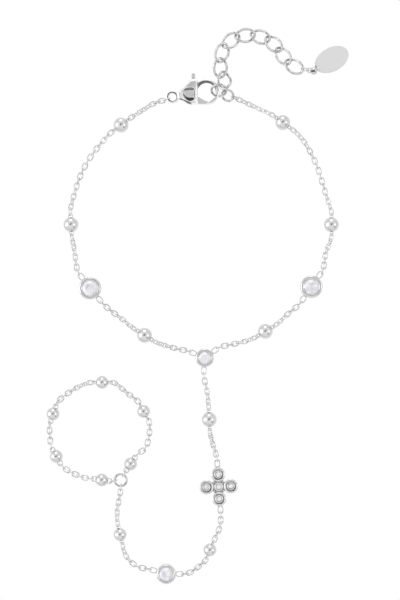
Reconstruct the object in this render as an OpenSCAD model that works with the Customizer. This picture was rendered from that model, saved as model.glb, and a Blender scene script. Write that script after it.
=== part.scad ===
// Hand chain bracelet: a fine cable chain with beads and round stone bezels goes round the wrist,
// and a second one runs over the back of the hand to a finger loop. It lies flat on z = 0.

/* [Fine chain] */
// Wire thickness of the fine chain
chain_wire = 0.24; // [0.2:0.01:0.26]
// Outer length of a fine link
chain_link_l = 1.72; // [1.68:0.01:1.78]
// Outer width of a fine link
chain_link_w = 1.2; // [1.16:0.01:1.26]

/* [Beads] */
// Diameter of the bracelet's beads and of the hand chain's first bead
bead_d = 3; // [2.6:0.1:3.4]
// Diameter of the smaller beads
small_bead_d = 2.6; // [2.3:0.1:2.8]
// Bore through every bead
bead_bore = 0.6; // [0.4:0.05:0.65]

/* [Bezels and stones] */
// Outer diameter of the two side bezels
side_bezel_d = 4.5; // [4.2:0.1:4.9]
// Stone diameter in the side bezels
side_stone_d = 3.3; // [2.8:0.1:3.6]
// Outer diameter of the centre bezel
centre_bezel_d = 3.7; // [3.5:0.1:4]
// Stone diameter in the centre bezel
centre_stone_d = 2.7; // [2.4:0.1:2.9]
// Outer diameter of the lower bezel
lower_bezel_d = 3.9; // [3.7:0.1:4.2]
// Stone diameter in the lower bezel
lower_stone_d = 3; // [2.6:0.1:3.2]
// Metal under a stone's point
bezel_floor = 0.25; // [0.2:0.05:0.4]
// Height of a bezel's rim above the stone's girdle
bezel_lip = 0.3; // [0.2:0.05:0.4]

/* [Clover charm] */
// Diameter of a petal
petal_d = 2.9; // [2.7:0.1:3.2]
// Distance from the charm's centre to a petal's centre
petal_reach = 2.45; // [2.3:0.05:2.5]
// Diameter of the charm's middle cup
clover_middle_d = 1.8; // [1.7:0.05:1.9]
// Diameter of the charm's stones
clover_stone_d = 1.2; // [1.1:0.05:1.25]
// Width of the raised rim of a petal
petal_rim = 0.42; // [0.3:0.01:0.46]
// Diameter of the collar round a petal's stone
petal_collar_d = 1.62; // [1.5:0.02:1.7]
// Diameter of the plate that joins the charm's cups
clover_plate_d = 3; // [2.6:0.1:3.2]
// Diameter of the balls between the petals
clover_ball_d = 0.52; // [0.4:0.02:0.6]

/* [Clasp] */
// Thickness of the clasp's body
clasp_t = 2.2; // [2:0.1:2.6]
// Thickness of the lever
lever_t = 0.8; // [0.6:0.05:1]
// Distance from the middle of the clasp's eye to the middle of its hook
hook_reach = 6.86; // [6.6:0.02:7]
// Radius of the hook at the middle of its band
hook_r = 2.2; // [2.1:0.02:2.3]
// Width of the hook's band
hook_band = 0.72; // [0.6:0.02:0.76]
// Height of the hook's band
hook_h = 1.06; // [0.9:0.02:1.1]
// Wire thickness of the clasp's eye
clasp_eye_wire = 0.42; // [0.38:0.01:0.44]
// Outer diameter of the clasp's eye
clasp_eye_d = 2.5; // [2.3:0.05:2.7]
// Diameter of the lever's pin
pin_d = 0.6; // [0.5:0.02:0.7]
// Width of the lever's thumb tab
tab_w = 0.86; // [0.7:0.02:0.9]

/* [Rings] */
// Wire thickness of the connector ring, jump ring and finger ring
ring_wire = 0.4; // [0.36:0.01:0.42]
// Outer diameter of the connector ring
connector_d = 3.32; // [3.28:0.02:3.36]
// Outer diameter of the jump ring and of the finger ring
jump_d = 2.8; // [2.7:0.02:2.86]

/* [Extension chain] */
// Wire thickness of the extension chain
extender_wire = 0.44; // [0.4:0.01:0.46]
// Outer length of an extension link
extender_l = 4.3; // [4.26:0.01:4.36]
// Outer width of an extension link
extender_w = 3; // [2.94:0.02:3.06]
// Twist of an extension link from its middle to its end
extender_twist = 36; // [34:1:38]
// Outer length of the tag's small link
tag_link_l = 1.8; // [1.76:0.02:1.84]
// Diameter of the ball at the tag's end
ball_d = 1.5; // [1.4:0.02:1.54]
// Length of the tag
tag_l = 7.25; // [6.5:0.05:8]
// Width of the tag
tag_w = 4.75; // [4.2:0.05:5.2]
// Thickness of the tag
tag_t = 0.5; // [0.4:0.05:0.7]

/* [Hidden] */
$fn = 48;

steel = "silver";
bright_steel = "gainsboro";
crystal = "lavender";

// Gap that two linked wires keep when the chain is drawn out
link_gap = 0.12;
// Depth that a soldered eye sinks into its bezel, how far a bead's eye stands out to the middle
// of its wire, and how deep its legs go
eye_solder = 0.12;
eye_out = 0.75;
eye_leg = 0.85;
// Length over which the chain comes down from a raised end
ramp_l = 4.5;
// Gap between a stone and its seat, and how much further than its solid a cut goes
stone_gap = 0.06;
overcut = 0.01;

// Mid height of a link whose edge stands on the surface
chain_bend = (chain_link_w - chain_wire) / 2;
function rest_z(roll) = chain_wire / 2 + chain_bend * max(abs(sin(roll)), abs(cos(roll)));
flat_z = rest_z(0);

// Reach from a piece's middle to the wire that the next link hooks, for a rim of radius r
function eye_reach(r) = r + chain_link_l - chain_wire / 2 - eye_solder;
function bead_reach(r) = r + eye_out;
clover_reach = eye_reach(petal_reach + petal_d / 2);
// On a ring of thicker wire the link sits deeper
function ring_reach(d, wire) = d / 2 - wire + chain_wire / 2;
jump_reach = ring_reach(jump_d, ring_wire);
clasp_mid = clasp_t / 2;

// Poses of the rings: heading, pitch and roll
connector_at = [4.53, 42.96];
connector_turn = [-1.5, 0, 42.6];
jump_turn = [226, 24, 0];
connector_z = ring_wire / 2 + (connector_d - ring_wire) / 2 * sin(connector_turn[2]);
// The jump ring rests on the chain, and the finger ring hangs between its beads, off the surface
jump_lift = 0.18;
ring_lift = 0.5;
jump_z = ring_wire / 2 + (jump_d - ring_wire) / 2 * sin(jump_turn[1]) + jump_lift;
ring_z = flat_z + ring_lift;

// Place of the middle of the clasp's hook, and its direction from the middle of the eye
hook_at = [2.086, 42.602];
hook_turn = 8.4;
hook_mid = polar(hook_reach, hook_turn);

// Stations of the chains: name, place, reach to the hooked wire, height of that wire,
// roll of the eyes, and the heading of the bore on a bead
stations = [
    ["clasp",           hook_at - hook_mid, ring_reach(clasp_eye_d, clasp_eye_wire), clasp_mid, 0, undef],
    ["bracelet_bead_1", [-15, 36],       bead_reach(bead_d / 2),    bead_d / 2,       60,  217],
    ["bracelet_bead_2", [-25, 16.1],     bead_reach(bead_d / 2),    bead_d / 2,       30,  274],
    ["bezel_left",      [-21.2, 3.4],    eye_reach(side_bezel_d / 2),   flat_z,       0,   undef],
    ["bracelet_bead_3", [-10.3, -6],     bead_reach(bead_d / 2),    bead_d / 2,       40,  -32],
    ["bezel_centre",    [1.7, -10.5],    eye_reach(centre_bezel_d / 2), flat_z,       0,   undef],
    ["bracelet_bead_4", [13.8, -5.2],    bead_reach(bead_d / 2),    bead_d / 2,       45,  31],
    ["bezel_right",     [23, 3.7],       eye_reach(side_bezel_d / 2),   flat_z,       0,   undef],
    ["bracelet_bead_5", [27, 16.1],      bead_reach(bead_d / 2),    bead_d / 2,       45,  90],
    ["bracelet_bead_6", [17.3, 36.5],    bead_reach(bead_d / 2),    bead_d / 2,       45,  144],
    ["jump_ring",       [6.3, 42],     jump_reach,                flat_z,           20,  undef],
    ["hand_bead_1",     [2.6, -22.8],    bead_reach(bead_d / 2),    bead_d / 2,       48,  -87],
    ["clover_charm",    [4.5, -36.3],    clover_reach,              flat_z,           0,   undef],
    ["hand_bead_2",     [2.75, -48.87],  bead_reach(small_bead_d / 2), small_bead_d / 2, 75, 247],
    ["bezel_lower",     [-6, -53.7],     eye_reach(lower_bezel_d / 2),  flat_z,       0,   undef],
    ["hand_bead_3",     [-15.2, -45.8],  bead_reach(small_bead_d / 2), small_bead_d / 2, -40, 103],
    ["finger_ring",     [-15.1, -34.95],  jump_reach,                ring_z,           0,   undef],
    ["finger_bead_1",   [-13.1, -31.7],  bead_reach(small_bead_d / 2), small_bead_d / 2, 0, 56],
    ["finger_bead_2",   [-10.5, -21.2],  bead_reach(small_bead_d / 2), small_bead_d / 2, 80, 119],
    ["finger_bead_3",   [-18.8, -15.4],  bead_reach(small_bead_d / 2), small_bead_d / 2, 60, 180],
    ["finger_bead_4",   [-28.6, -21.7],  bead_reach(small_bead_d / 2), small_bead_d / 2, -20, 251],
    ["finger_bead_5",   [-27.95, -30.2], bead_reach(small_bead_d / 2), small_bead_d / 2, -10, 300],
    ["finger_bead_6",   [-18.88, -34.9], bead_reach(small_bead_d / 2), small_bead_d / 2, 0, 352]
];

// Runs of fine chain: node, first station and its angle, last station and its angle, points between
runs = [
    ["bracelet_chain_left", "clasp", 200, "bracelet_bead_1", 37,
        [[-6.5, 41], [-8.9, 40.2], [-12.4, 37.9]]],
    ["bracelet_chain_left", "bracelet_bead_1", 217, "bracelet_bead_2", 94,
        [[-19.4, 32], [-22.1, 28.2], [-24, 23.7]]],
    ["bracelet_chain_left", "bracelet_bead_2", 274, "bezel_left", 128,
        [[-24.4, 11.2]]],
    ["bracelet_chain_left", "bezel_left", -51, "bracelet_bead_3", 148,
        [[-17.3, -0.9], [-14.2, -3.3]]],
    ["bracelet_chain_left", "bracelet_bead_3", -32, "bezel_centre", 158,
        [[-4.6, -8.5]]],
    ["bracelet_chain_right", "bezel_centre", 36, "bracelet_bead_4", 211,
        [[7.3, -7.8], [9.8, -7.2]]],
    ["bracelet_chain_right", "bracelet_bead_4", 31, "bezel_right", 237,
        [[18.4, -1.7]]],
    ["bracelet_chain_right", "bezel_right", 54, "bracelet_bead_5", 270,
        [[25.9, 10.4]]],
    ["bracelet_chain_right", "bracelet_bead_5", 90, "bracelet_bead_6", -36,
        [[26, 22], [24.1, 28], [21.7, 32.6]]],
    ["bracelet_chain_right", "bracelet_bead_6", 144, "jump_ring", -16,
        [[12, 39.6], [9.8, 40.6]]],
    ["hand_chain", "bezel_centre", -94, "hand_bead_1", 93,
        [[2.1, -16.9]]],
    ["hand_chain", "hand_bead_1", -87, "clover_charm", 93.5,
        [[3.1, -27]]],
    ["hand_chain", "clover_charm", -85.5, "hand_bead_2", 67,
        [[4.7, -44.4]]],
    ["hand_chain", "hand_bead_2", 247, "bezel_lower", -2,
        [[0.7, -52.1], [-1.1, -53.4]]],
    ["hand_chain", "bezel_lower", 166, "hand_bead_3", -77,
        [[-12, -52.2], [-14, -50.2]]],
    ["hand_chain", "hand_bead_3", 103, "finger_ring", -88,
        [[-15.8, -41]]],
    ["finger_chain", "finger_ring", 61, "finger_bead_1", 236,
        []],
    ["finger_chain", "finger_bead_1", 56, "finger_bead_2", -61,
        [[-9.9, -28]]],
    ["finger_chain", "finger_bead_2", 119, "finger_bead_3", 0,
        [[-13.8, -17.6]]],
    ["finger_chain", "finger_bead_3", 180, "finger_bead_4", 71,
        [[-24.6, -16.9]]],
    ["finger_chain", "finger_bead_4", 251, "finger_bead_5", 120,
        [[-29.25, -26.1]]],
    ["finger_chain", "finger_bead_5", 300, "finger_bead_6", 172,
        [[-25.1, -33.35], [-22.8, -34.35]]],
    ["finger_chain", "finger_bead_6", -8, "finger_ring", 184,
        []]
];

// Place and turn of the extension chain's first link, and the route of the others between two guides
extender_first = [5.65, 44.94, 1.43];
extender_first_turn = [92.5, -24, 7];
extender_route = [
    [4.9, 45], [4.85, 47.5], [5.15, 50.5], [6.9, 52.95], [9.75, 54],
    [12.8, 53.75], [15.55, 52.3], [17.45, 49.9], [19.6, 47.85], [22.6, 48.1]
];

function find(table, name) = table[search([name], table)[0]];
function station(name) = find(stations, name);
function polar(r, a) = [r * cos(a), r * sin(a)];
function hook_point(name, angle) = station(name)[1] + polar(station(name)[2], angle);

// A smooth curve through points p, from its second point to its last but one
curve_steps = 10;
function curve_at(p, i, t) = (
    2 * p[i]
    + (p[i + 1] - p[i - 1]) * t
    + (2 * p[i - 1] - 5 * p[i] + 4 * p[i + 1] - p[i + 2]) * t * t
    + (3 * p[i] - p[i - 1] - 3 * p[i + 1] + p[i + 2]) * t * t * t
) / 2;
function curve(p) = concat(
    [for (i = [1 : len(p) - 3], k = [0 : curve_steps - 1]) curve_at(p, i, k / curve_steps)],
    [p[len(p) - 2]]
);
// Length along a list of points, up to each of them
function lengths(p) = [for (i = 0, s = 0; i < len(p); s = s + norm(p[min(i + 1, len(p) - 1)] - p[i]), i = i + 1) s];
// Point at length s on a list of points, whose lengths are given
function along(p, s_list, s) = [for (axis = [0 : len(p[0]) - 1])
    lookup(s, [for (i = [0 : len(p) - 1]) [s_list[i], p[i][axis]]])];

function last(list) = list[len(list) - 1];
function heading(v) = atan2(v[1], v[0]);
function pitch(v) = atan2(v[2], norm([v[0], v[1]]));
function fold(angle) = angle - 180 * round(angle / 180);

// Point beyond the hook of a curve's end, from which the curve leaves nearly in line with the eye:
// the first joint takes a share of the turn
lead_share = 1.8;
joint_share = 0.35;
function lead(name, angle, next) =
    let (
        way = next - hook_point(name, angle),
        turn = heading(way) - angle,
        near = turn - 360 * round(turn / 360)
    )
    next - polar(lead_share * norm(way), angle + joint_share * near);
// Plan curve of a run, from hook to hook
function run_plan(run) =
    let (
        first = hook_point(run[1], run[2]),
        end = hook_point(run[3], run[4]),
        p = concat([first], run[5], [end])
    )
    curve(concat([lead(run[1], run[2], p[1])], p, [lead(run[3], run[4], p[len(p) - 2])]));
// How far the chain is lifted above its resting height, at length s of a run of length l
function ramp(u) = u >= 1 ? 0 : (1 + cos(180 * u)) / 2;
function lift(first, end, s, l) =
    let (reach = min(ramp_l, l / 2), middle = (first + end) / 2 * max(0, 1 - l / 2 / ramp_l))
    middle + (first - middle) * ramp(s / reach) + (end - middle) * ramp((l - s) / reach);
function run_curve(run) =
    let (
        plan = run_plan(run),
        s = lengths(plan),
        first = station(run[1])[3] - rest_z(station(run[1])[4]),
        end = station(run[3])[3] - rest_z(station(run[3])[4])
    )
    [for (i = [0 : len(plan) - 1]) [plan[i][0], plan[i][1], lift(first, end, s[i], last(s))]];

// Reach of the first link past the wire it hooks, and the pitch of the links, both drawn out
end_step = chain_link_l / 2 - chain_wire * 1.5 - link_gap;
link_step = chain_link_l - 2 * chain_wire - link_gap;
// A run shorter than one pitch has one link, and a longer one is never drawn out fully
run_slack = 0.15;
function link_count(l) = l < link_step ? 1 : ceil((l - 2 * end_step) / link_step + run_slack) + 1;

module place(at, turn) {
    translate(at)
    rotate([turn[2], -turn[1], turn[0]])
    children();
}

// An oval link in the XY plane, long along X
module oval_link(l, w, wire) {
    bend = (w - wire) / 2;
    straight = l - w;
    for (side = [0, 180])
    rotate(side) {
        translate([straight / 2, 0, 0])
        rotate(-90)
        rotate_extrude(angle = 180)
        translate([bend, 0])
        circle(d = wire);
        translate([-straight / 2, bend, 0])
        rotate([0, 90, 0])
        cylinder(d = wire, h = straight);
    }
}

module fine_link() {
    oval_link(chain_link_l, chain_link_w, chain_wire);
}

module round_ring(d, wire) {
    rotate_extrude()
    translate([(d - wire) / 2, 0])
    circle(d = wire);
}

// The links of one run, spread evenly, each turned a quarter on from the one before
module run_links(run) {
    p = run_curve(run);
    s = lengths(p);
    l = last(s);
    n = link_count(l);
    share = l / (2 * end_step + (n - 1) * link_step);
    first_roll = station(run[1])[4];
    end_roll = station(run[3])[4];
    drift = n > 1 ? -fold((n - 1) * 90 - (end_roll - first_roll)) / (n - 1) : 0;
    for (k = [0 : n - 1]) {
        at_s = (end_step + k * link_step) * share;
        at = along(p, s, at_s);
        ahead = along(p, s, min(l, at_s + link_step / 3));
        behind = along(p, s, max(0, at_s - link_step / 3));
        roll = first_roll + 90 + k * (90 + drift);
        place(at + [0, 0, rest_z(roll)], [heading(ahead - behind), pitch(ahead - behind), roll])
        fine_link();
    }
}

module fine_chain(name) {
    color(steel)
    for (run = runs)
    if (run[0] == name) run_links(run);
}

// An eye whose legs go into a piece, drawn from the middle of that piece
module legged_eye(reach) {
    translate([reach - chain_bend, 0, 0]) {
        rotate(-90)
        rotate_extrude(angle = 180)
        translate([chain_bend, 0])
        circle(d = chain_wire);
        for (side = [-1, 1])
        translate([-eye_leg, side * chain_bend, 0])
        rotate([0, 90, 0])
        cylinder(d = chain_wire, h = eye_leg);
    }
}

// A bead with its bore, and an eye soldered to each end of it
module bead(name, d) {
    at = station(name)[1];
    color(bright_steel)
    place([each at, d / 2], [station(name)[5], 0, station(name)[4]]) {
        difference() {
            sphere(d = d);
            rotate([0, 90, 0])
            cylinder(d = bead_bore, h = 2 * d, center = true);
        }
        for (side = [0, 180])
        rotate(side)
        legged_eye(bead_reach(d / 2));
    }
}

// Proportions of a cut stone, as shares of its girdle radius
table_share = 0.56;
star_share = 0.8;
crown_share = 0.32;
girdle_share = 0.05;
half_share = 0.28;
pavilion_share = 0.84;
// Clear radius of a bezel's lip, as a share of the stone's
lip_share = 0.94;
// Height on the straight line between two levels, at the distance x from the axis
function on_line(x, x1, z1, x2, z2) = z1 + (z2 - z1) * (x - x1) / (x2 - x1);
function circle_points(n, r, z, first) = [for (i = [0 : n - 1])
    let (a = first + i * 360 / n)
    [r * cos(a), r * sin(a), z]];

// A round brilliant, with the lower edge of its girdle at z = 0
module brilliant(d) {
    r = d / 2;
    top_z = girdle_share * r;
    table_z = top_z + crown_share * r;
    point_z = -pavilion_share * r;
    star_z = on_line(star_share * cos(22.5), table_share, table_z, 1, top_z);
    half_z = on_line(half_share * cos(22.5), 1, 0, 0, point_z);
    points = concat(
        circle_points(8, table_share * r, table_z, 0),
        circle_points(8, star_share * r, star_z, 22.5),
        circle_points(16, r, top_z, 0),
        circle_points(16, r, 0, 0),
        circle_points(8, half_share * r, half_z, 22.5),
        [[0, 0, point_z], [0, 0, table_z]]
    );
    star = 8;
    upper = 16;
    lower = 32;
    half = 48;
    culet = 56;
    table_mid = 57;
    faces = [for (i = [0 : 7])
        let (
            j = (i + 1) % 8,
            before = (i + 7) % 8,
            a = 2 * i,
            b = 2 * i + 1,
            c = (2 * i + 2) % 16
        )
        each [
            [table_mid, j, i],
            [i, j, star + i],
            [i, star + i, upper + a],
            [i, upper + a, star + before],
            [star + i, upper + b, upper + a],
            [star + i, upper + c, upper + b],
            [upper + a, upper + b, lower + b],
            [upper + a, lower + b, lower + a],
            [upper + b, upper + c, lower + c],
            [upper + b, lower + c, lower + b],
            [lower + a, lower + b, half + i],
            [lower + b, lower + c, half + i],
            [lower + a, half + i, culet],
            [lower + a, culet, half + before]
        ]
    ];
    polyhedron(points, faces);
}

// Height of a stone's girdle above the back of its cup
function girdle_z(stone_d) = bezel_floor + stone_gap + pavilion_share * stone_d / 2;

// Section of a stone's seat, open at the top, cut out of a cup
module seat_section(stone_d, cup_h) {
    r = stone_d / 2;
    z = girdle_z(stone_d);
    girdle_h = girdle_share * r;
    lip_r = lip_share * r;
    polygon([
        [0, z - pavilion_share * r - stone_gap],
        [r + stone_gap, z - stone_gap],
        [r + stone_gap, z + girdle_h + stone_gap / 2],
        [lip_r + stone_gap / 2, z + girdle_h + stone_gap * 2],
        [lip_r + stone_gap / 2, cup_h + overcut],
        [0, cup_h + overcut]
    ]);
}

// Section of a cup with a round rim for one stone, before its seat is cut. The rim stands out
// a little from the wall.
rim_share = 0.63;
rim_out = 0.02;
foot = 0.12;
module cup_section(d, stone_d, h) {
    r = d / 2;
    rim_r = rim_share * (r - lip_share * stone_d / 2 - stone_gap / 2);
    polygon([[0, 0], [r - foot, 0], [r - rim_out, foot], [r - rim_out, h - rim_r], [0, h - rim_r]]);
    translate([r - rim_r, h - rim_r])
    circle(r = rim_r);
}

module cup(d, stone_d) {
    h = girdle_z(stone_d) + bezel_lip;
    rotate_extrude()
    difference() {
        cup_section(d, stone_d, h);
        seat_section(stone_d, h);
    }
}

// Angles of the eyes that the runs give a station
function eye_angles(name) = concat(
    [for (run = runs) if (run[1] == name) run[2]],
    [for (run = runs) if (run[3] == name) run[4]]
);

module bezel(name, d, stone_d) {
    at = station(name)[1];
    color(bright_steel)
    translate([each at, 0]) {
        cup(d, stone_d);
        for (a = eye_angles(name))
        place([each polar(station(name)[2] + chain_wire / 2 - chain_link_l / 2, a), flat_z], [a, 0, 0])
        fine_link();
    }
}

module stone(name, d) {
    at = station(name)[1];
    color(crystal)
    translate([each at, girdle_z(d)])
    brilliant(d);
}

// Places of the clover's cups: a middle one and four petals
clover_turn = 2.5;
clover_places = concat([[0, 0]], [for (a = [0 : 90 : 270]) polar(petal_reach, a + clover_turn)]);
clover_h = girdle_z(clover_stone_d) + bezel_lip;

// Floor of the groove between a petal's rim and its collar, and the plate under the cups
groove_z = clover_h / 2;
clover_plate_h = 0.9 * groove_z;

// Share of a ball's diameter that lies inside the plate's edge
ball_inside = 0.4;

// A petal with a round rim, a groove and a collar
module petal() {
    r = petal_d / 2;
    rotate_extrude()
    difference() {
        union() {
            polygon([
                [0, 0],
                [r - foot, 0],
                [r - rim_out, foot],
                [r - rim_out, clover_h - petal_rim / 2],
                [r - petal_rim + rim_out, clover_h - petal_rim / 2],
                [r - petal_rim + rim_out, groove_z],
                [0, groove_z]
            ]);
            translate([r - petal_rim / 2, clover_h - petal_rim / 2])
            circle(d = petal_rim);
            cup_section(petal_collar_d, clover_stone_d, clover_h);
        }
        seat_section(clover_stone_d, clover_h);
    }
}

// The middle cup on the plate under the petals
module clover_middle() {
    rotate_extrude()
    difference() {
        union() {
            cup_section(clover_middle_d, clover_stone_d, clover_h);
            square([clover_plate_d / 2, clover_plate_h]);
        }
        seat_section(clover_stone_d, clover_h);
    }
}

module clover_charm() {
    at = station("clover_charm")[1];
    color(bright_steel)
    translate([each at, 0]) {
        for (i = [1 : 4])
        translate(clover_places[i])
        petal();
        clover_middle();
        for (a = [45 : 90 : 315])
        translate([each polar(clover_plate_d / 2 - ball_inside * clover_ball_d, a + clover_turn), clover_plate_h])
        sphere(d = clover_ball_d);
        for (a = eye_angles("clover_charm"))
        place([each polar(clover_reach + chain_wire / 2 - chain_link_l / 2, a), flat_z], [a, 0, 0])
        fine_link();
    }
}

module clover_stones() {
    at = station("clover_charm")[1];
    color(crystal)
    translate([each at, girdle_z(clover_stone_d)])
    for (p = clover_places)
    translate(p)
    brilliant(clover_stone_d);
}

// Clasp, drawn from the middle of its eye with the hook to the right
pivot = hook_reach * [0.5219, 0.1312];
// Middle of the body's upper face, the face's share of the outline, and the edge's share of the thickness
face_mid = hook_reach * [0.496, 0.131];
face_share = 0.9;
edge_share = 0.12;
// Depth that the eye's ring is sunk into the body
eye_sunk = 0.12;
pin_fit = 0.05;
slot_fit = 0.08;
slot_h = lever_t + 2 * slot_fit;
// Angles of the hook's ends, and the slanting face of its tip, on which the gate closes
hook_tip = -97;
hook_root = 155;
tip_face_at = hook_mid + polar(hook_r + hook_band / 2, -95.1);
tip_face_turn = 38;
// Half the width of the gate side's cut
gate_cut = 3;
gate_gap = 0.1;
// Skin of the lever over the blind bore for its pin
lever_skin = 0.2;
// Corners of the body's outline, of the window in its upper side, of the space for the lever
// and of the lever without its tab, as shares of the hook's reach
clasp_corners = [
    [0.143, 0.029], [0.19, -0.058], [0.309, -0.096], [0.42, -0.169], [0.528, -0.21], [0.641, -0.219],
    [0.717, -0.197], [0.729, -0.087], [0.729, 0.117], [0.729, 0.335], [0.738, 0.452], [0.7, 0.504],
    [0.612, 0.51], [0.536, 0.496], [0.449, 0.423], [0.303, 0.277], [0.138, 0.138]
];
window_corners = [
    [0.306, 0.102], [0.335, 0.211], [0.437, 0.262], [0.583, 0.262], [0.641, 0.204], [0.65, 0.044],
    [0.62, -0.073], [0.51, -0.105], [0.394, -0.058], [0.321, 0.015]
];
slot_corners = [
    [0.277, 0.131], [0.292, 0.015], [0.364, -0.058], [0.466, -0.09], [0.598, -0.087], [0.656, -0.138],
    [0.685, -0.292], [0.875, -0.292], [0.875, 0.168], [0.685, 0.168], [0.679, 0.335], [0.688, 0.802],
    [0.219, 0.802], [0.335, 0.496], [0.364, 0.364], [0.335, 0.292], [0.289, 0.233]
];
lever_corners = [
    [0.649, 0.496], [0.636, 0.321], [0.644, 0.175], [0.729, 0.022], [0.918, -0.087], [1.028, -0.131],
    [1.044, -0.16], [0.959, -0.211], [0.773, -0.211], [0.707, -0.16], [0.641, -0.044], [0.569, 0],
    [0.466, 0.004], [0.364, 0.029], [0.318, 0.087], [0.321, 0.175], [0.394, 0.251], [0.466, 0.292],
    [0.51, 0.379], [0.547, 0.496]
];
tab_top = hook_reach * [0.6035, 0.6356];

function closed_curve(p, steps) =
    let (n = len(p), q = concat([last(p)], p, [p[0], p[1]]))
    [for (i = [1 : n], k = [0 : steps - 1]) curve_at(q, i, k / steps)];
function inset(p, mid, share) = [for (point = p) mid + (point - mid) * share];

module band_section() {
    side = (hook_h - hook_band) / 2;
    for (z = [-side, side])
    translate([0, z])
    circle(d = hook_band);
    square([hook_band, 2 * side], center = true);
}

// Everything on the gate's side of the tip's face, moved off it by a gap
module gate_side(gap) {
    translate(tip_face_at)
    rotate(tip_face_turn)
    translate([-gate_cut, gap])
    square([2 * gate_cut, gate_cut]);
}

module clasp_place() {
    at = station("clasp")[1];
    translate([each at, clasp_mid])
    children();
}

module clasp_body() {
    edge = edge_share * clasp_t;
    outline = closed_curve(hook_reach * clasp_corners, 3);
    color(bright_steel)
    clasp_place() {
        difference() {
            union() {
                linear_extrude(clasp_t - 2 * edge, center = true)
                polygon(outline);
                linear_extrude(clasp_t, center = true)
                polygon(inset(outline, face_mid, face_share));
            }
            linear_extrude(slot_h, center = true)
            polygon(hook_reach * slot_corners);
            linear_extrude(clasp_t)
            polygon(closed_curve(hook_reach * window_corners, 3));
            cylinder(d = clasp_eye_d - 2 * eye_sunk, h = 2 * clasp_t, center = true);
        }
        round_ring(clasp_eye_d, clasp_eye_wire);
        translate([each pivot, -clasp_t / 2 + edge])
        cylinder(d = pin_d, h = clasp_t / 2 - edge + lever_t / 2 - lever_skin - slot_fit);
        difference() {
            translate(hook_mid)
            rotate(hook_tip)
            rotate_extrude(angle = hook_root - hook_tip)
            translate([hook_r, 0])
            band_section();
            linear_extrude(2 * hook_h, center = true)
            gate_side(0);
        }
    }
}

module clasp_lever() {
    color(steel)
    clasp_place()
    difference() {
        linear_extrude(lever_t, center = true)
        polygon(concat(
            hook_reach * lever_corners,
            [for (a = [180 : -15 : 0]) tab_top + polar(tab_w / 2, a)]
        ));
        linear_extrude(2 * lever_t, center = true)
        difference() {
            translate(tip_face_at)
            square(gate_cut, center = true);
            gate_side(gate_gap);
        }
        translate([each pivot, -lever_t])
        cylinder(d = pin_d + 2 * pin_fit, h = 1.5 * lever_t - lever_skin);
    }
}

module connector_ring() {
    color(steel)
    place([each connector_at, connector_z], connector_turn)
    round_ring(connector_d, ring_wire);
}

module jump_ring() {
    at = station("jump_ring")[1];
    color(steel)
    place([each at, jump_z], jump_turn)
    round_ring(jump_d, ring_wire);
}

module finger_ring() {
    at = station("finger_ring")[1];
    color(steel)
    translate([each at, ring_z])
    round_ring(jump_d, ring_wire);
}

// A twisted extension link, swept along its own closed curve
curb_steps = 16;
curb_sides = 6;
function curb_at(u) =
    let (
        x = (extender_l - extender_wire) / 2 * cos(u),
        y = (extender_w - extender_wire) / 2 * sin(u),
        turn = extender_twist * x / ((extender_l - extender_wire) / 2)
    )
    [x, y * cos(turn), y * sin(turn)];
function unit(v) = v / norm(v);
function curb_ring(u) =
    let (
        t = unit(curb_at(u + 1) - curb_at(u - 1)),
        side = unit(cross(t, curb_at(u))),
        out = cross(side, t)
    )
    [for (k = [0 : curb_sides - 1])
        let (a = k * 360 / curb_sides)
        curb_at(u) + (out * cos(a) + side * sin(a)) * extender_wire / 2];

module curb_link() {
    points = [for (i = [0 : curb_steps - 1]) each curb_ring(i * 360 / curb_steps)];
    faces = [for (i = [0 : curb_steps - 1], k = [0 : curb_sides - 1])
        let (
            i2 = (i + 1) % curb_steps,
            k2 = (k + 1) % curb_sides,
            a = i * curb_sides + k,
            b = i2 * curb_sides + k,
            c = i2 * curb_sides + k2,
            d = i * curb_sides + k2
        )
        each [[a, b, c], [a, c, d]]
    ];
    polyhedron(points, faces);
}

extender_curve = curve(extender_route);
extender_s = lengths(extender_curve);
extender_count = 9;
// The twisted link's rise from its mid plane, and how much higher the second link lies
extender_rise = max([for (u = [0 : 5 : 90]) curb_at(u)[2]]);
extender_rest_z = extender_wire / 2 + extender_rise;
second_lift = 0.13;
// Half the length of the route over which a link's heading is taken
extender_sight = 0.8;

module extender_link(number) {
    color(steel)
    if (number == 1) {
        place(extender_first, extender_first_turn)
        curb_link();
    } else {
        s = last(extender_s) * (number - 2) / (extender_count - 2);
        at = along(extender_curve, extender_s, s);
        ahead = along(extender_curve, extender_s, min(last(extender_s), s + extender_sight));
        behind = along(extender_curve, extender_s, max(0, s - extender_sight));
        z = extender_rest_z + (number == 2 ? second_lift : 0);
        place([each at, z], [heading(ahead - behind), 0, 0])
        curb_link();
    }
}

// Pose of the tag's small link
tag_link_at = [21.77, 47.2, 0.76];
tag_link_turn = [-8, -3, -51];

module tag_link() {
    color(steel)
    place(tag_link_at, tag_link_turn)
    oval_link(tag_link_l, chain_link_w, chain_wire);
}

// The plain oval tag, with a ball and an eye soldered to its end
tag_at = [27.15, 49.25];
tag_turn = 29;
ball_at = [23.54, 46.89];
tag_eye_turn = 170;
tag_eye_roll = -40;
tag_eye_out = 0.65;
neck_d = 0.6;
neck_l = 1.2;

module tag_oval(inset, z, h) {
    translate([each tag_at, z])
    rotate(tag_turn)
    linear_extrude(h)
    polygon([for (a = [0 : 6 : 354]) [(tag_l / 2 - inset) * cos(a), (tag_w / 2 - inset) * sin(a)]]);
}

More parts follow.
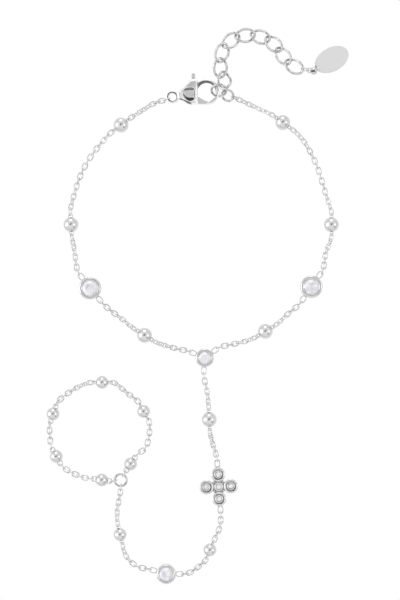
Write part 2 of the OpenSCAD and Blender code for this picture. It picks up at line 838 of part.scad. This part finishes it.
module tag() {
    edge = tag_t / 5;
    ball_z = ball_d / 2;
    color(bright_steel) {
        tag_oval(0, edge, tag_t - 2 * edge);
        tag_oval(edge, 0, tag_t);
        translate([each ball_at, ball_z])
        sphere(d = ball_d);
        place([each ball_at, ball_z], [tag_eye_turn, 0, tag_eye_roll])
        legged_eye(ball_d / 2 + tag_eye_out);
        place([each ball_at, neck_d / 2 + edge], [heading(tag_at - ball_at), 0, 0])
        rotate([0, 90, 0])
        cylinder(d = neck_d, h = neck_l);
    }
}

fine_chain("bracelet_chain_left");  // bracelet_chain_left
fine_chain("bracelet_chain_right");  // bracelet_chain_right
fine_chain("hand_chain");  // hand_chain
fine_chain("finger_chain");  // finger_chain
bead("bracelet_bead_1", bead_d);  // bracelet_bead_1
bead("bracelet_bead_2", bead_d);  // bracelet_bead_2
bead("bracelet_bead_3", bead_d);  // bracelet_bead_3
bead("bracelet_bead_4", bead_d);  // bracelet_bead_4
bead("bracelet_bead_5", bead_d);  // bracelet_bead_5
bead("bracelet_bead_6", bead_d);  // bracelet_bead_6
bead("hand_bead_1", bead_d);  // hand_bead_1
bead("hand_bead_2", small_bead_d);  // hand_bead_2
bead("hand_bead_3", small_bead_d);  // hand_bead_3
bead("finger_bead_1", small_bead_d);  // finger_bead_1
bead("finger_bead_2", small_bead_d);  // finger_bead_2
bead("finger_bead_3", small_bead_d);  // finger_bead_3
bead("finger_bead_4", small_bead_d);  // finger_bead_4
bead("finger_bead_5", small_bead_d);  // finger_bead_5
bead("finger_bead_6", small_bead_d);  // finger_bead_6
bezel("bezel_left", side_bezel_d, side_stone_d);  // bezel_left
bezel("bezel_right", side_bezel_d, side_stone_d);  // bezel_right
bezel("bezel_centre", centre_bezel_d, centre_stone_d);  // bezel_centre
bezel("bezel_lower", lower_bezel_d, lower_stone_d);  // bezel_lower
stone("bezel_left", side_stone_d);  // stone_left
stone("bezel_right", side_stone_d);  // stone_right
stone("bezel_centre", centre_stone_d);  // stone_centre
stone("bezel_lower", lower_stone_d);  // stone_lower
clover_charm();
clover_stones();
clasp_body();
clasp_lever();
connector_ring();
jump_ring();
finger_ring();
extender_link(1);  // extender_link_1
extender_link(2);  // extender_link_2
extender_link(3);  // extender_link_3
extender_link(4);  // extender_link_4
extender_link(5);  // extender_link_5
extender_link(6);  // extender_link_6
extender_link(7);  // extender_link_7
extender_link(8);  // extender_link_8
extender_link(9);  // extender_link_9
tag_link();
tag();
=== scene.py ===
import math

import bmesh
import bpy
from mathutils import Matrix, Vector


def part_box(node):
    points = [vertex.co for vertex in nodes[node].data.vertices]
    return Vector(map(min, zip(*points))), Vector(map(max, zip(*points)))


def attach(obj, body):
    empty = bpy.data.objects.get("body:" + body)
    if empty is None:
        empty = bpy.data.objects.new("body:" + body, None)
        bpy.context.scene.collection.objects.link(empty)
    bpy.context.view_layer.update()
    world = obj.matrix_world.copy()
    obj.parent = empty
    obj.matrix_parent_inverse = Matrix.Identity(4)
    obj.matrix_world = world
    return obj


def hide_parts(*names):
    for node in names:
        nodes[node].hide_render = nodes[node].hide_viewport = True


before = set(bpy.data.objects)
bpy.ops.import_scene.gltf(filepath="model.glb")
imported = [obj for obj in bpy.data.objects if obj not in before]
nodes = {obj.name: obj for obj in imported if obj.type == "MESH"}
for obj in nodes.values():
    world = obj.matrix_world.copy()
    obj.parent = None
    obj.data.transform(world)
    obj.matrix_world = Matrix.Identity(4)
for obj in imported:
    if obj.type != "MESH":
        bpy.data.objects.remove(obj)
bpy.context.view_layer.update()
print("frame loaded:", len(nodes), "nodes")

# Sizes below are in mm, and places are in mm of the part's own frame
mm = 0.001

# Camera straight above the bracelet, for a picture of 400 x 600 pixels
photoView = {
    "width": 400,
    "height": 600,
    "pixelMm": 0.2,
    "sharpMm": 1.0,  # height above the surface at which a pixel is exactly that size
    "originPixel": (196.2, 305.3),  # where the part's own origin lies in the picture
    "lens": 100,
    "sensor": 36,
}


def placeCamera(view):
    data = bpy.data.cameras.new("photoCamera")
    data.lens = view["lens"]
    data.sensor_width = view["sensor"]
    camera = bpy.data.objects.new("photoCamera", data)
    bpy.context.scene.collection.objects.link(camera)
    pixel = view["pixelMm"] * mm
    originX, originY = view["originPixel"]
    across = (view["width"] / 2 - originX) * pixel
    along = (originY - view["height"] / 2) * pixel
    height = view["height"] * pixel * view["lens"] / view["sensor"] + view["sharpMm"] * mm
    camera.location = (across, along, height)
    bpy.context.scene.camera = camera
    bpy.context.scene.view_settings.view_transform = "Standard"


placeCamera(photoView)
print("camera placed")


# A socket in a node tree. A sum written on it adds its Math nodes.
class Strand:
    def __init__(self, bench, socket):
        self.bench = bench
        self.socket = socket

    def sum(self, operation, first, second):
        return self.bench.add("ShaderNodeMath", {"operation": operation}, {0: first, 1: second})

    def __add__(self, other):
        return self.sum("ADD", self, other)

    def __sub__(self, other):
        return self.sum("SUBTRACT", self, other)

    def __rsub__(self, other):
        return self.sum("SUBTRACT", other, self)

    def __mul__(self, other):
        return self.sum("MULTIPLY", self, other)

    __radd__ = __add__
    __rmul__ = __mul__


# A node tree on which a finish or the light is put together
class Bench:
    def __init__(self, tree):
        self.tree = tree
        self.tree.nodes.clear()

    def add(self, kind, settings=None, sockets=None, out=0):
        node = self.tree.nodes.new(kind)
        for name, value in (settings or {}).items():
            setattr(node, name, value)
        for key, value in (sockets or {}).items():
            if isinstance(value, Strand):
                self.tree.links.new(value.socket, node.inputs[key])
            else:
                node.inputs[key].default_value = value
        return Strand(self, node.outputs[out]) if len(node.outputs) else node

    # 0 below low and 1 above high, smooth between them
    def rise(self, value, low, high):
        return self.add("ShaderNodeMapRange", {"interpolation_type": "SMOOTHSTEP"},
                        {"Value": value, "From Min": low, "From Max": high})

    # 1 below low and 0 above high
    def fall(self, value, low, high):
        return 1 - self.rise(value, low, high)

    # Sockets 6 and 7 and output 2 of a Mix node are the ones for colours
    def mixColour(self, share, first, second):
        return self.add("ShaderNodeMix", {"data_type": "RGBA"}, {0: share, 6: first, 7: second}, 2)

    def vector(self, operation, first, second, out="Vector"):
        return self.add("ShaderNodeVectorMath", {"operation": operation}, {0: first, 1: second}, out)

    # The place on the piece, in metres of the part's own frame
    def place(self):
        return self.add("ShaderNodeTexCoord", out="Object")

    # How far a place lies along one axis, in mm
    def along(self, axis, place):
        return self.add("ShaderNodeSeparateXYZ", None, {"Vector": place}, axis) * (1 / mm)

    # Distance of a place from a point of the plan, in mm, seen from above
    def away(self, point, place):
        plan = self.vector("MULTIPLY", place, (1 / mm, 1 / mm, 0))
        return self.vector("DISTANCE", plan, (*point, 0), "Value")

    # Cloudy pattern, with clouds of about this size
    def clouds(self, place, sizeMm, detail):
        return self.add("ShaderNodeTexNoise", None,
                        {"Vector": place, "Scale": 1 / (sizeMm * mm), "Detail": detail})


def makeFinish(name):
    finish = bpy.data.materials.new(name)
    finish.use_nodes = True
    return finish, Bench(finish.node_tree)


# White tent over the bracelet: levels of light by direction. Each patch is given by its azimuth, its angle
# from the zenith, and its half width without and with its soft edge, all in degrees.
tent = {
    "sky": 1.05,
    "horizon": 0.8,
    "skyFrom": (0.0, 0.5),  # height on the tent, from the horizon's level to the sky's
    "background": 1.0,
    "patches": [
        {"azimuth": 180, "angle": 68, "inner": 18, "outer": 30, "level": 2.2},
        {"azimuth": 92, "angle": 74, "inner": 12, "outer": 20, "level": 2.2},
        {"azimuth": 0, "angle": 55, "inner": 9, "outer": 15, "level": 2.2},
        {"azimuth": 322, "angle": 62, "inner": 6, "outer": 16, "level": 0.45},
        {"azimuth": 60, "angle": 22, "inner": 6, "outer": 24, "level": 0.7},
        {"azimuth": 140, "angle": 7, "inner": 5, "outer": 18, "level": 0.22},
    ],
}


def lightTent(settings):
    world = bpy.data.worlds.new("whiteTent")
    world.use_nodes = True
    bpy.context.scene.world = world
    bench = Bench(world.node_tree)
    way = bench.add("ShaderNodeTexCoord", out="Generated")  # for a world, the direction
    height = bench.add("ShaderNodeSeparateXYZ", None, {"Vector": way}, "Z")
    rise = bench.rise(height, *settings["skyFrom"])
    light = settings["horizon"] + (settings["sky"] - settings["horizon"]) * rise
    for patch in settings["patches"]:
        turn = math.radians(patch["azimuth"])
        lean = math.radians(patch["angle"])
        middle = (math.sin(lean) * math.cos(turn), math.sin(lean) * math.sin(turn), math.cos(lean))
        facing = bench.vector("DOT_PRODUCT", way, middle, "Value")
        edge = (math.cos(math.radians(patch["outer"])), math.cos(math.radians(patch["inner"])))
        light = light + (patch["level"] - light) * bench.rise(facing, *edge)
    seen = bench.add("ShaderNodeLightPath", out="Is Camera Ray")
    light = light + (settings["background"] - light) * seen
    glow = bench.add("ShaderNodeBackground", None, {"Color": light})
    bench.add("ShaderNodeOutputWorld", None, {"Surface": glow})


lightTent(tent)


# Paper floor of the tent, lit from behind
paperFloor = {"radius": 3.0, "sides": 64, "level": 1.0}  # radius in metres


def layFloor(settings):
    bm = bmesh.new()
    bmesh.ops.create_circle(bm, cap_ends=True, segments=settings["sides"], radius=settings["radius"])
    mesh = bpy.data.meshes.new("paperFloor")
    bm.to_mesh(mesh)
    bm.free()
    floor = bpy.data.objects.new("paperFloor", mesh)
    bpy.context.scene.collection.objects.link(floor)
    paper, bench = makeFinish("backlitPaper")
    glow = bench.add("ShaderNodeEmission", None, {"Strength": settings["level"]})
    bench.add("ShaderNodeOutputMaterial", None, {"Surface": glow})
    mesh.materials.append(paper)


layFloor(paperFloor)
print("tent and floor ready")


# What all the steels share. Wear begins at the first level of the grain's clouds and is full at the second.
steelGrain = {"detail": 3.0, "wear": (0.45, 0.75), "reliefMm": 0.01}


# Ends a finish as bare metal, with a relief that follows height
def layMetal(bench, colour, roughness, height, depth):
    relief = bench.add("ShaderNodeBump", None,
                       {"Strength": depth, "Distance": steelGrain["reliefMm"] * mm, "Height": height})
    metal = bench.add("ShaderNodeBsdfPrincipled", None,
                      {"Base Color": colour, "Metallic": 1.0, "Roughness": roughness, "Normal": relief})
    bench.add("ShaderNodeOutputMaterial", None, {"Surface": metal})


# Steel with faint wear and traces of the polishing. It takes a painted shade's colour as the painted shade
# goes from 0 to 1.
def makeSteel(name, settings, paintedShade=None):
    finish, bench = makeFinish(name)
    place = bench.place()
    grain = bench.clouds(place, settings["grainMm"], steelGrain["detail"])
    worn = bench.rise(grain, *steelGrain["wear"])
    colour = bench.mixColour(worn, settings["colour"], settings["wornColour"])
    if paintedShade:
        colour = bench.mixColour(paintedShade(bench, place, settings), colour, settings["paintedShadeColour"])
    roughness = settings["roughness"] + settings["roughnessSpread"] * worn
    layMetal(bench, colour, roughness, grain, settings["grainDepth"])
    return finish


# Polished steel of the beads and the bezels
polishedSteel = {
    "colour": (0.68, 0.68, 0.685, 1),
    "wornColour": (0.56, 0.56, 0.57, 1),
    "roughness": 0.07,
    "roughnessSpread": 0.08,
    "grainMm": 0.35,
    "grainDepth": 0.02,
}
steelFinish = makeSteel("polishedSteel", polishedSteel)

# Drawn wire of the fine chains, with darker stretches from the solder's flux
wireSteel = {
    "colour": (0.66, 0.66, 0.665, 1),
    "wornColour": (0.42, 0.42, 0.43, 1),
    "roughness": 0.09,
    "roughnessSpread": 0.1,
    "grainMm": 0.6,
    "grainDepth": 0.02,
}
wireFinish = makeSteel("wireSteel", wireSteel)

# Wire of the extension links and of the rings, darker still
ringSteel = {
    "colour": (0.6, 0.6, 0.605, 1),
    "wornColour": (0.3, 0.3, 0.31, 1),
    "roughness": 0.09,
    "roughnessSpread": 0.1,
    "grainMm": 0.6,
    "grainDepth": 0.02,
}
ringFinish = makeSteel("ringSteel", ringSteel)


# Brighter steel of the clover. Its colour has painted shade in its grooves, deepening towards one side, and
# between its petals, and it is a little darker on its eyes. An edge is a pair of distances between which a
# painted shade begins or ends.
charmSteel = {
    "colour": (0.79, 0.79, 0.795, 1),
    "wornColour": (0.58, 0.58, 0.59, 1),
    # colour of the clover's painted shade
    "paintedShadeColour": (0.2, 0.2, 0.205, 1),
    "roughness": 0.06,
    "roughnessSpread": 0.06,
    "grainMm": 0.4,
    "grainDepth": 0.02,
    "petals": 4,
    "petalReach": 2.45,  # from the clover's middle to a petal's
    "petalTurn": 2.5,  # degrees
    "petalEdge": (1.15, 1.3),
    "shadedTurn": -50,  # degrees, the way towards which the painted shade deepens
    "shadedEdge": (-0.7, 1.3),
    "middleShare": 0.4,
    "middleEdge": (1.9, 2.1),
    "topEdge": (0.6, 0.7),  # heights
    "eyeShare": 0.4,
    "eyeEdge": (3.75, 3.95),
}


# Painted shade of the clover: darker in its grooves, most towards one side, between its petals and on its
# eyes
def paintCharmShade(bench, place, settings):
    low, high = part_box("clover_stones")
    middle = (low + high).xy / 2 / mm
    fromMiddle = bench.away(middle, place)
    shadedSide = math.radians(settings["shadedTurn"])
    charmShade = settings["middleShare"] * bench.fall(fromMiddle, *settings["middleEdge"])
    for number in range(settings["petals"]):
        turn = math.radians(settings["petalTurn"] + 360 / settings["petals"] * number)
        petal = middle + settings["petalReach"] * Vector((math.cos(turn), math.sin(turn)))
        near = bench.fall(bench.away(petal, place), *settings["petalEdge"])
        aside = (bench.along("X", place) - petal.x) * math.cos(shadedSide)
        aside = aside + (bench.along("Y", place) - petal.y) * math.sin(shadedSide)
        charmShade = charmShade + near * bench.rise(aside, *settings["shadedEdge"])
    eyes = settings["eyeShare"] * bench.rise(fromMiddle, *settings["eyeEdge"])
    return eyes + charmShade * bench.fall(bench.along("Z", place), *settings["topEdge"])


charmFinish = makeSteel("charmSteel", charmSteel, paintCharmShade)


# Tumbled steel of the clasp's body, a little softer. Its colour has painted shade on the inside of the hook
# and of the eye, under the lower shoulder, and in the window.
tumbledSteel = {
    "colour": (0.9, 0.9, 0.905, 1),
    "wornColour": (0.82, 0.82, 0.83, 1),
    # colour of the clasp body's painted shade
    "paintedShadeColour": (0.17, 0.17, 0.175, 1),
    "roughness": 0.28,
    "roughnessSpread": 0.08,
    "grainMm": 0.5,
    "grainDepth": 0.03,
    "hookAt": (1.82, 42.84),  # round the painted dark line of shade along the hook's inside
    "hookEdge": (1.9, 2.27),
    "innerAt": (2.09, 42.6),  # round a wider and fainter painted shade beside it
    "innerEdge": (1.95, 2.5),
    "innerShare": 0.5,
    "hookStart": (0.25, 0.5),  # from here on to +X
    "eyeAt": (-4.8, 41.7),
    "eyeRadius": 0.9,
    "eyeLine": (0.004, 0.03),  # square of the distance from that radius
    "shoulderAt": (-3.24, 41.16),
    "shoulderTurn": 248,  # degrees, the way that it faces
    "shoulderEdge": (-0.32, -0.1),
    "shoulderStart": (-3.5, -3.1),  # in X, as its end
    "shoulderEnd": (-1.3, -0.7),
    "windowAt": (-1.2, 41.3),
    "windowEdge": (0.85, 1.1),
    "windowTop": (1.5, 1.8),  # heights
}


# Painted shade along the inside of the hook
def paintHookShade(bench, place, settings):
    inside = bench.fall(bench.away(settings["hookAt"], place), *settings["hookEdge"])
    inner = bench.fall(bench.away(settings["innerAt"], place), *settings["innerEdge"])
    start = bench.rise(bench.along("X", place), *settings["hookStart"])
    return (inside + settings["innerShare"] * inner) * start


# Painted dark line of shade along the underside of the lower shoulder
def paintShoulderShade(bench, place, settings):
    turn = math.radians(settings["shoulderTurn"])
    x, y = settings["shoulderAt"]
    across = bench.along("X", place)
    out = (across - x) * math.cos(turn) + (bench.along("Y", place) - y) * math.sin(turn)
    line = bench.rise(out, *settings["shoulderEdge"]) * bench.rise(across, *settings["shoulderStart"])
    return line * bench.fall(across, *settings["shoulderEnd"])


# Painted shade in a thin ring round the inside of the eye
def paintEyeShade(bench, place, settings):
    offLine = bench.away(settings["eyeAt"], place) - settings["eyeRadius"]
    return bench.fall(offLine * offLine, *settings["eyeLine"])


# Painted shade in the window, below the casting's top
def paintWindowShade(bench, place, settings):
    near = bench.fall(bench.away(settings["windowAt"], place), *settings["windowEdge"])
    return near * bench.fall(bench.along("Z", place), *settings["windowTop"])


# All the painted shade of the clasp's body together
def paintClaspShade(bench, place, settings):
    outside = paintHookShade(bench, place, settings) + paintShoulderShade(bench, place, settings)
    return outside + paintEyeShade(bench, place, settings) + paintWindowShade(bench, place, settings)


claspFinish = makeSteel("tumbledSteel", tumbledSteel, paintClaspShade)


bossAt = (-1.25, 42.2)  # middle of the lever's boss, which fills most of the window in the clasp's body

# Brushed steel of the lever, with painted shade on its boss's sides
leverSteel = {
    "colour": (0.80, 0.80, 0.805, 1),
    "wornColour": (0.70, 0.70, 0.71, 1),
    # colour of the lever's painted shade
    "paintedShadeColour": (0.35, 0.35, 0.355, 1),
    "roughness": 0.36,
    "roughnessSpread": 0.1,
    "grainMm": 0.5,
    "grainDepth": 0.03,
    "bossEdge": (1.5, 1.7),
    "bossTop": (1.6, 1.8),  # heights
}


# Painted shade on the sides of the lever's boss, below its top
def paintLeverShade(bench, place, settings):
    near = bench.fall(bench.away(bossAt, place), *settings["bossEdge"])
    return near * bench.fall(bench.along("Z", place), *settings["bossTop"])


leverFinish = makeSteel("leverSteel", leverSteel, paintLeverShade)


# Satin steel of the tag, brushed along its length. Ball and eye are polished, with a painted dark reflection
# on the ball, shaped as a slit.
satinSteel = {
    "colour": (0.78, 0.78, 0.78, 1),
    "roughness": 0.5,
    "roughnessSpread": 0.08,
    "strokeMm": 0.06,
    "strokeDetail": 2.0,
    "strokeLength": 30,  # times its width
    "strokeTurn": 29,  # degrees
    "strokeDepth": 0.04,
    "ballAt": (22.78, 47.02, 0.75),
    "ballEdge": (1.52, 1.6),
    "ballColour": (0.62, 0.62, 0.625, 1),
    "ballRoughness": 0.07,
    "slitAt": (23.34, 46.8, 1.42),
    "slitHalf": (0.5, 0.18, 0.5),
    "slitEdge": (0.8, 1.2),  # in shares of that half size
    # colour of the painted dark reflection on the ball
    "darkReflectionColour": (0.03, 0.03, 0.03, 1),
}


def makeSatinSteel(name, settings):
    finish, bench = makeFinish(name)
    place = bench.place()
    turned = bench.add("ShaderNodeMapping", {"vector_type": "TEXTURE"},
                       {"Vector": place, "Rotation": (0, 0, math.radians(settings["strokeTurn"])),
                        "Scale": (settings["strokeLength"], 1, 1)})
    strokes = bench.clouds(turned, settings["strokeMm"], settings["strokeDetail"])
    fromBall = bench.vector("DISTANCE", place, tuple(Vector(settings["ballAt"]) * mm), "Value")
    low, high = settings["ballEdge"]
    leaf = bench.rise(fromBall, low * mm, high * mm)
    satin = settings["roughness"] + settings["roughnessSpread"] * strokes
    roughness = settings["ballRoughness"] + (satin - settings["ballRoughness"]) * leaf
    colour = bench.mixColour(leaf, settings["ballColour"], settings["colour"])
    # Painted dark reflection: a slit-shaped dark spot on the ball
    shifted = bench.vector("SUBTRACT", place, tuple(Vector(settings["slitAt"]) * mm))
    shares = bench.vector("DIVIDE", shifted, tuple(Vector(settings["slitHalf"]) * mm))
    fromSlit = bench.vector("DISTANCE", shares, (0, 0, 0), "Value")
    colour = bench.mixColour(bench.fall(fromSlit, *settings["slitEdge"]), colour, settings["darkReflectionColour"])
    layMetal(bench, colour, roughness, strokes, settings["strokeDepth"])
    return finish


tagFinish = makeSatinSteel("satinSteel", satinSteel)


# Cut stones with a breath of lilac. Their inner reflections are cells of light and shade, which differ from
# stone to stone.
cutStone = {
    "lightColour": (0.96, 0.955, 0.99, 1),
    "shadeColour": (0.70, 0.69, 0.75, 1),
    "cellMm": 0.75,
    "cellShade": (0.25, 0.8),
    "cloudMm": 1.6,
    "cloudDetail": 2.0,
    "cloudShade": (0.3, 0.65),
    "ior": 1.9,
    "roughness": 0.06,
    "clearness": 0.16,
}


def makeCutStone(name, settings):
    finish, bench = makeFinish(name)
    place = bench.place()
    cells = bench.add("ShaderNodeTexVoronoi", {"feature": "F1"},
                      {"Vector": place, "Scale": 1 / (settings["cellMm"] * mm)})
    clouds = bench.clouds(place, settings["cloudMm"], settings["cloudDetail"])
    shade = bench.rise(cells, *settings["cellShade"]) * bench.rise(clouds, *settings["cloudShade"])
    colour = bench.mixColour(shade, settings["lightColour"], settings["shadeColour"])
    stone = bench.add("ShaderNodeBsdfPrincipled", None,
                      {"Base Color": colour, "Roughness": settings["roughness"],
                       "IOR": settings["ior"], "Transmission Weight": settings["clearness"]})
    bench.add("ShaderNodeOutputMaterial", None, {"Surface": stone})
    return finish


stoneFinish = makeCutStone("cutStone", cutStone)


def chooseFinish(name):
    if "stone" in name:
        return stoneFinish
    if name == "tag":
        return tagFinish
    if name == "clover_charm":
        return charmFinish
    if "chain" in name or "link" in name or "ring" in name:
        return wireFinish
    return steelFinish


for name, node in nodes.items():
    node.data.materials.clear()
    node.data.materials.append(chooseFinish(name))
print("finishes put on")

weldMm = 0.001  # triangles of a solid whose corners are this near belong together


def copyMerged(name):
    bm = bmesh.new()
    bm.from_mesh(nodes[name].data)
    bmesh.ops.remove_doubles(bm, verts=bm.verts, dist=weldMm * mm)
    return bm


def finishPiece(bm, name, finish, body, replaced):
    mesh = bpy.data.meshes.new(name)
    bm.to_mesh(mesh)
    bm.free()
    mesh.materials.append(finish)
    mesh.polygons.foreach_set("use_smooth", [True] * len(mesh.polygons))
    piece = bpy.data.objects.new(name, mesh)
    bpy.context.scene.collection.objects.link(piece)
    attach(piece, body)
    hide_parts(replaced)
    return piece


# Extension links: the solid's coarse loop, rounded. Subdividing draws the wire and the loop in, so both are
# grown first. The finished wire stands 0.04 mm proud of the solid's.
extensionLink = {"wireGrowth": 0.0836, "loopGrowth": 1.026, "levels": 2}


def roundExtensionLink(node, settings):
    bm = copyMerged(node)
    low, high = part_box(node)
    middle = (low + high) / 2
    growth = settings["wireGrowth"] * mm
    bm.normal_update()
    for vert in bm.verts:
        vert.co = middle + (vert.co - middle) * settings["loopGrowth"] + vert.normal * growth
    link = finishPiece(bm, node.replace("extender", "extension"), ringFinish, "bracelet", node)
    rounded = link.modifiers.new("rounded", "SUBSURF")
    rounded.levels = rounded.render_levels = settings["levels"]


for name in nodes:
    if name.startswith("extender_link"):
        roundExtensionLink(name, extensionLink)
print("extension links rounded")


# Rings: the solids with a wire that is a little thicker all round
plainRings = {
    "swelling": 0.03,
    "pieces": {"connector_ring": "clasp_ring", "jump_ring": "end_ring", "finger_ring": "finger_loop_ring"},
}


def swellRing(node, name, settings):
    bm = copyMerged(node)
    bm.normal_update()
    for vert in bm.verts:
        vert.co += vert.normal * settings["swelling"] * mm
    finishPiece(bm, name, ringFinish, "bracelet", node)


for node, name in plainRings["pieces"].items():
    swellRing(node, name, plainRings)
print("rings swollen")


# Clasp: castings with soft edges, from the solids. They are worked on at a thousand times their size, so that
# a unit is a mm.
claspCasting = {
    "voxel": 0.07,
    "tumbling": 0.5,
    "rounds": 10,
    "domeAt": (-0.7, 44.0),
    "domeReach": 3.4,
    "domeDrop": 0.32,  # share of the half thickness at that reach
    "domeEnds": (0.3, 1.3),  # where the hook begins
    "pullAt": (-1.35, 41.5),
    "pullReach": 1.1,
    "pull": 0.2,
    "eyeAt": (-4.7, 41.6),
    "eyeReach": 1.5,
    "eyeGrowth": 0.1,
    "eyeFade": 6,  # a high power, so that the growth ends late
}
leverCasting = {
    "voxel": 0.05,
    "tumbling": 0.5,
    "rounds": 8,
    "pullAt": (-1.35, 41.65),
    "pullReach": 1.2,
    "pull": 0.2,
    "bossRise": 0.55,
    "bossReach": (1.5, 1.9),
    "bossEnds": (42.85, 43.05),  # in Y, at the boss's middle
    "bossSlope": 0.12,
    "bossRight": (-0.4, -0.25),  # in X
}


def castBlank(node, settings):
    bm = copyMerged(node)
    bmesh.ops.scale(bm, vec=(1 / mm, 1 / mm, 1 / mm), verts=bm.verts)
    mesh = bpy.data.meshes.new("blank")
    bm.to_mesh(mesh)
    bm.free()
    blank = bpy.data.objects.new("blank", mesh)
    bpy.context.scene.collection.objects.link(blank)
    even = blank.modifiers.new("even", "REMESH")
    even.mode = "VOXEL"
    even.voxel_size = settings["voxel"]
    tumbled = blank.modifiers.new("tumbled", "SMOOTH")
    tumbled.factor = settings["tumbling"]
    tumbled.iterations = settings["rounds"]
    bm = bmesh.new()
    bm.from_object(blank, bpy.context.evaluated_depsgraph_get())
    bpy.data.objects.remove(blank)
    return bm


def middleHeight(node):
    low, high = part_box(node)
    return (low.z + high.z) / 2 / mm


# 1 up to start and 0 from end on, smooth between them
def fade(value, start, end):
    share = min(1, max(0, (end - value) / (end - start)))
    return share * share * (3 - 2 * share)


def awayFrom(point, vert):
    return (vert.co.xy - Vector(point)).length


# Both faces of the body sink towards its rim
def domeFaces(bm, level, settings):
    for vert in bm.verts:
        away = min(1, awayFrom(settings["domeAt"], vert) / settings["domeReach"])
        drop = settings["domeDrop"] * away * away * fade(vert.co.x, *settings["domeEnds"])
        vert.co.z = level + (vert.co.z - level) * (1 - drop)


# Around the window's lower edge the upper half is drawn towards -Y, and the lever's boss with it
def drawDown(bm, level, settings):
    for vert in bm.verts:
        if vert.co.z > level:
            away = min(1, awayFrom(settings["pullAt"], vert) / settings["pullReach"])
            vert.co.y -= settings["pull"] * (1 - away * away) ** 2


def thickenEye(bm, settings):
    bm.normal_update()
    for vert in bm.verts:
        away = min(1, awayFrom(settings["eyeAt"], vert) / settings["eyeReach"])
        vert.co += vert.normal * settings["eyeGrowth"] * (1 - away ** settings["eyeFade"])


# The boss rises from the lever's upper face. It ends at a slanting line towards +Y, and at the window's edge
# towards +X.
def raiseBoss(bm, level, settings):
    for vert in bm.verts:
        if vert.co.z > level:
            above = vert.co.y - settings["bossSlope"] * (vert.co.x - bossAt[0])
            share = fade(awayFrom(bossAt, vert), *settings["bossReach"])
            share *= fade(above, *settings["bossEnds"])
            share *= fade(vert.co.x, *settings["bossRight"])
            vert.co.z += settings["bossRise"] * share


def castBody(settings):
    node = "clasp_body"
    level = middleHeight(node)
    bm = castBlank(node, settings)
    domeFaces(bm, level, settings)
    drawDown(bm, level, settings)
    thickenEye(bm, settings)
    bmesh.ops.scale(bm, vec=(mm, mm, mm), verts=bm.verts)
    finishPiece(bm, "clasp_casting", claspFinish, "bracelet", node)


def castLever(settings):
    node = "clasp_lever"
    level = middleHeight(node)
    bm = castBlank(node, settings)
    drawDown(bm, level, settings)
    raiseBoss(bm, level, settings)
    bmesh.ops.scale(bm, vec=(mm, mm, mm), verts=bm.verts)
    finishPiece(bm, "lever_casting", leverFinish, "lever", node)


castBody(claspCasting)
castLever(leverCasting)
print("clasp cast")
